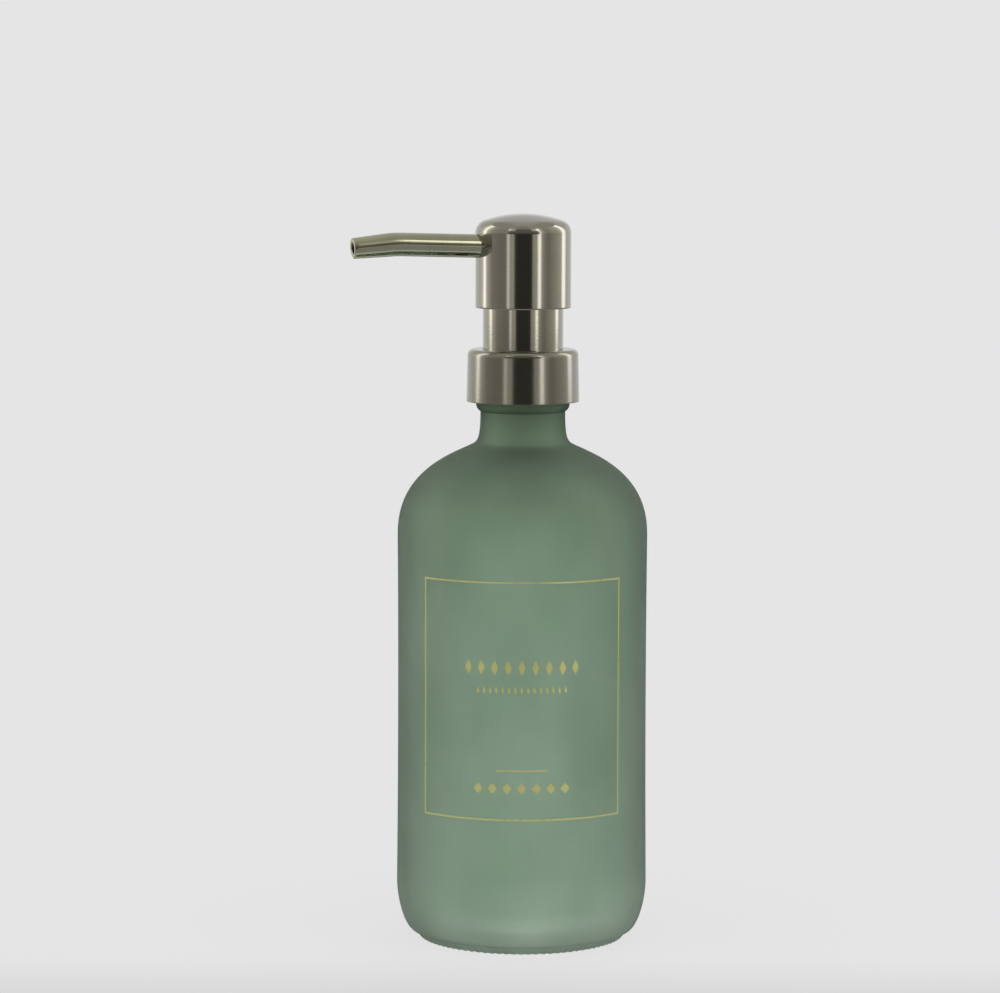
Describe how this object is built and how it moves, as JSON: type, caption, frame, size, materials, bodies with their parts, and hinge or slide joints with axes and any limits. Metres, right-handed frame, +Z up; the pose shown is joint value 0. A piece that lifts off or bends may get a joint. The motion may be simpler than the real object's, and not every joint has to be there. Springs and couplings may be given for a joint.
{
  "type": "pump dispenser bottle",
  "caption": "Frosted green glass bottle with a metal-clad press pump: head with a bent spout, guide sleeve, screw collar and dip tube.",
  "frame": {"origin": "middle of the foot ring, on the surface that the bottle stands on", "axes": "+Z up along the bottle; -Y is the printed front; the spout points to -X, turned 17 degrees towards -Y"},
  "size_m": [0.0894, 0.0758, 0.2192],
  "materials": {
    "frosted_glass": "acid-frosted green glass, satin outside",
    "gold_foil": "fired gold screen print",
    "antique_nickel": "polished antique nickel plate on thin steel",
    "spout_nickel": "polished antique nickel plate on drawn tube",
    "white_polypropylene": "moulded",
    "natural_polypropylene": "moulded, translucent",
    "dark_polypropylene": "moulded black",
    "clear_polyethylene": "extruded or moulded, translucent",
    "gasket_foam": "foamed polyethylene",
    "seal_rubber": "moulded",
    "ball_glass": "ground ball",
    "spring_steel": "drawn stainless"
  },
  "bodies": {
    "bottle": {"bottle": "frosted_glass", "gold_print": "gold_foil"},
    "pump_body": {"pump_housing": "natural_polypropylene", "neck_gasket": "gasket_foam", "dip_tube": "clear_polyethylene", "ball_retainer": "white_polypropylene", "inlet_ball": "ball_glass", "stem_guide": "white_polypropylene", "stem_wiper": "seal_rubber", "guide_sleeve": "antique_nickel", "return_spring": "spring_steel"},
    "collar": {"collar_shell": "antique_nickel", "closure_cap": "white_polypropylene"},
    "plunger": {"piston": "clear_polyethylene"},
    "head": {"stem": "white_polypropylene", "piston_retainer": "white_polypropylene", "outlet_ball": "spring_steel", "head_core": "dark_polypropylene", "head_shell": "antique_nickel", "spout": "spout_nickel", "spout_seal": "seal_rubber"}
  },
  "joints": [
    {"name": "pump_lift", "type": "slide", "parent": "bottle", "child": "pump_body", "axis": [0, 0, 1], "range_m": [0, 0.00529]},
    {"name": "collar_turn", "type": "hinge", "parent": "pump_body", "child": "collar", "pos_m": [0, 0, 0.17], "axis": [0, 0, 1], "range_deg": [0, 450]},
    {"name": "head_press", "type": "slide", "parent": "pump_body", "child": "plunger", "axis": [0, 0, -1], "range_m": [0, 0.0115], "stiffness_N_per_m": 1000, "springref_m": -0.007, "deforming": ["return_spring"]},
    {"name": "head_swivel", "type": "hinge", "parent": "plunger", "child": "head", "pos_m": [0, 0, 0.2], "axis": [0, 0, 1], "continuous": true}
  ],
  "couplings": [
    {"joint": "collar_turn", "follows": "pump_lift", "rad_per_m": 1484.2}
  ]
}
